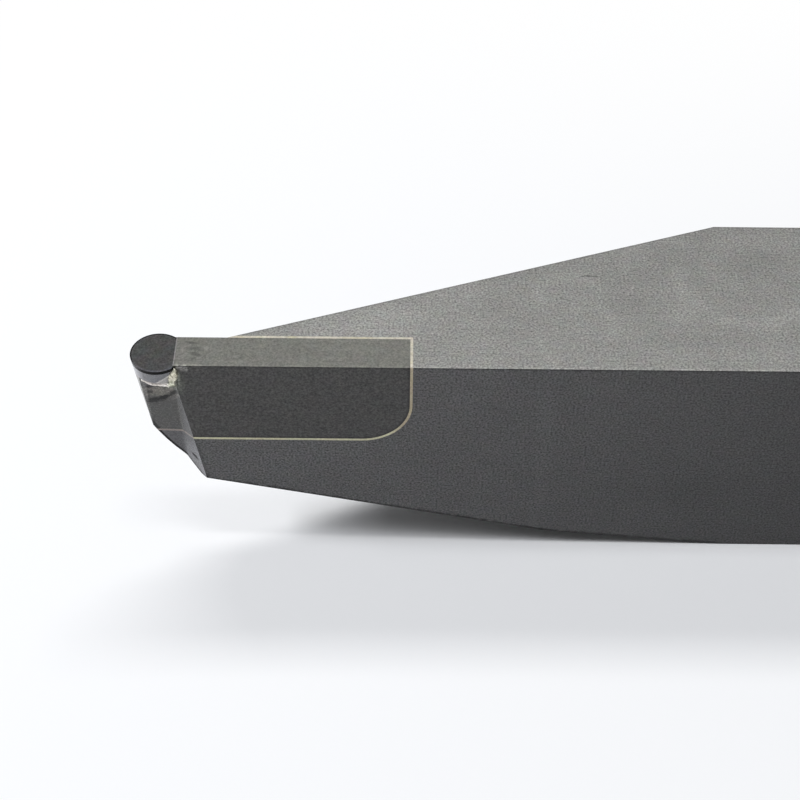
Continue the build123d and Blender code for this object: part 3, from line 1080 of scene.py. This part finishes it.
# %% The bead on the near side, from the top of the lump to the tip
NEAR_BEAD = [
    (4.22, 0.2, 0.16, 0.1),
    (4.18, 0.4, 0.18, 0.19),
    (4.08, 0.74, 0.18, 0.36),
    (3.97, 1.2, 0.15, 0.41),
    (3.89, 1.7, 0.13, 0.4),
    (3.72, 2.14, 0.1, 0.34),
    (3.55, 2.46, 0.02, 0.27),
    (3.3, 2.59, -0.08, 0.18),
    (2.91, 2.61, -0.12, 0.15),
    (2.33, 2.6, -0.14, 0.14),
    (1.88, 2.55, -0.15, 0.13),
    (1.5, 2.29, -0.14, 0.13),
    (1.22, 2.05, -0.1, 0.13),
    (1.0, 1.91, -0.06, 0.1),
]
bead("near_bead", NEAR_BEAD, bead_braze)

# %% The thin bead on the far side, along the foot of its fillet
FAR_BEAD = [
    (3.93, 1.5, -3.71, 0.05),
    (3.65, 1.76, -3.68, 0.07),
    (3.2, 1.98, -3.63, 0.08),
    (2.65, 2.08, -3.61, 0.09),
    (2.15, 2.06, -3.6, 0.08),
    (1.7, 1.84, -3.59, 0.08),
    (1.3, 1.76, -3.54, 0.07),
    (0.95, 1.74, -3.33, 0.05),
]
bead("far_bead", FAR_BEAD, bead_braze)

# %% [markdown]
# ## Floor
# The tool lies on a plain white sheet. A white diffuse plane takes its shadow. Light Path makes
# the sheet pure white to the camera and in the metal, and a little less white where it throws
# light back at the tool. Far away, and behind the tool, it fades into the white backdrop.

# %% Floor
FLOOR_REACH = 6.0
FLOOR_DROP = 0.02 * MM
FLOOR_TURNS = ((-1, -1), (1, -1), (1, 1), (-1, 1))
floor_corners = [(x * FLOOR_REACH, y * FLOOR_REACH, -FLOOR_DROP) for x, y in FLOOR_TURNS]
floor_mesh = bpy.data.meshes.new("floor")
floor_mesh.from_pydata(floor_corners, [], [(0, 1, 2, 3)])
floor = add_object("floor", floor_mesh)


def seen_rays(tree):
    """1 for what the camera sees, also in a mirror or through glass, and 0 for other light."""
    path = add(tree, "LightPath").outputs
    seen = calc(tree, "ADD", path["Is Camera Ray"], path["Is Glossy Ray"])
    return calc(tree, "ADD", seen, path["Is Transmission Ray"], clamp=True)


SHEET_BOUNCE = (0.8, 0.8, 0.8)
FAR_AWAY, BEHIND_TOOL = (0.3, 0.6), (0.012, 0.1)
paper = bpy.data.materials.new("white_paper")
paper.use_nodes = True
tree = paper.node_tree
tree.nodes.clear()
seen = seen_rays(tree)
sheet_colour = mix(tree, seen, SHEET_BOUNCE, WHITE)
lit_floor = add(tree, "BsdfDiffuse", {"Color": sheet_colour})
place = add(tree, "TexCoord").outputs["Object"]
far_away = step(tree, length(tree, place), *FAR_AWAY)
behind = step(tree, split_axes(tree, place)["Y"], *BEHIND_TOOL)
faded = product(tree, calc(tree, "MAXIMUM", far_away, behind), seen)
plain_white = add(tree, "Emission", {"Color": WHITE, "Strength": 1.0})
both = {0: faded, 1: lit_floor.outputs[0], 2: plain_white.outputs[0]}
sheet = add(tree, "MixShader", both)
add(tree, "OutputMaterial", {"Surface": sheet.outputs[0]})
floor_mesh.materials.append(paper)
print("floor lies", round(FLOOR_DROP / MM, 2), "mm under the tool")

# %% [markdown]
# ## Light
# The photo's shadows give the lamps away. A deep shadow under the head on the right of it, and
# bright faces towards the left, need a window on the left. The soft grey band in front of the
# tool needs a narrow strip high behind it, and the light under the nose needs a little from
# above. The world adds a plain pale light from everywhere, and is the white backdrop.

# %% World
AMBIENT = 0.123
SKY = (0.97, 0.985, 1.0)
world = bpy.data.worlds.new("studio")
bpy.context.scene.world = world
world.use_nodes = True
tree = world.node_tree
tree.nodes.clear()
strength = between(tree, seen_rays(tree), AMBIENT, 1.0)
sky = add(tree, "Background", {"Color": SKY, "Strength": strength})
add(tree, "OutputWorld", {"Surface": sky.outputs[0]})

# %% Lamps
VIEW_TARGET = Vector((-0.06661, -0.00224, 0.0126))


def look_from(name, data, toward, distance, roll=0.0):
    """A lamp or camera that looks at the tool's head from a distance in metres.

    It stands in a direction given as azimuth and elevation, in degrees. Azimuth 0 is behind the
    tool, 90 past its rear end, 180 in front and 270 past its nose.
    """
    azimuth, elevation = (math.radians(angle) for angle in toward)
    level = Vector((math.sin(azimuth), math.cos(azimuth), 0.0))
    direction = level * math.cos(elevation) + Vector((0.0, 0.0, math.sin(elevation)))
    turn = Quaternion((0.0, 0.0, 1.0), math.radians(roll))
    made = add_object(name, data)
    made.location = VIEW_TARGET + direction * distance
    made.rotation_mode = "QUATERNION"
    made.rotation_quaternion = direction.to_track_quat("Z", "Y") @ turn
    print(name, "at", [round(c / MM, 1) for c in made.location], "mm")
    return made


def soft_box(name, toward, distance, width, height, power, colour):
    """A flat lamp, with its sizes in metres and its power in watts."""
    data = bpy.data.lights.new(name, "AREA")
    data.shape = "RECTANGLE"
    data.size = width
    data.size_y = height
    data.energy = power
    data.color = colour
    look_from(name, data, toward, distance)


# Each lamp's direction, distance, width, height, power and colour.
soft_box("left_window", (265, 39), 1.5, 0.32, 0.62, 18.4, (0.94, 0.96, 1.0))
soft_box("back_strip", (-4, 62.3), 0.9, 0.7, 0.157, 2.6, (1.0, 1.0, 1.0))
soft_box("overhead", (180, 84), 1.2, 0.5, 0.1, 1.7, (0.97, 0.98, 1.0))

# %% [markdown]
# ## Camera
# The camera was fitted to the straight edges of the tool in the photo. It looks straight at the
# near side from 46.5 degrees up, about 160 mm away.

# %% Camera
VIEW_DIRECTION, VIEW_DISTANCE, VIEW_ROLL = (180, 46.5), 0.15965, 0.543
LENS, NEAREST, FARTHEST = 72.37, 0.01, 20.0
camera_data = bpy.data.cameras.new("camera")
camera_data.lens = LENS
camera_data.clip_start = NEAREST
camera_data.clip_end = FARTHEST
camera = look_from("camera", camera_data, VIEW_DIRECTION, VIEW_DISTANCE, VIEW_ROLL)
bpy.context.scene.camera = camera
bpy.context.scene.view_settings.view_transform = "Standard"
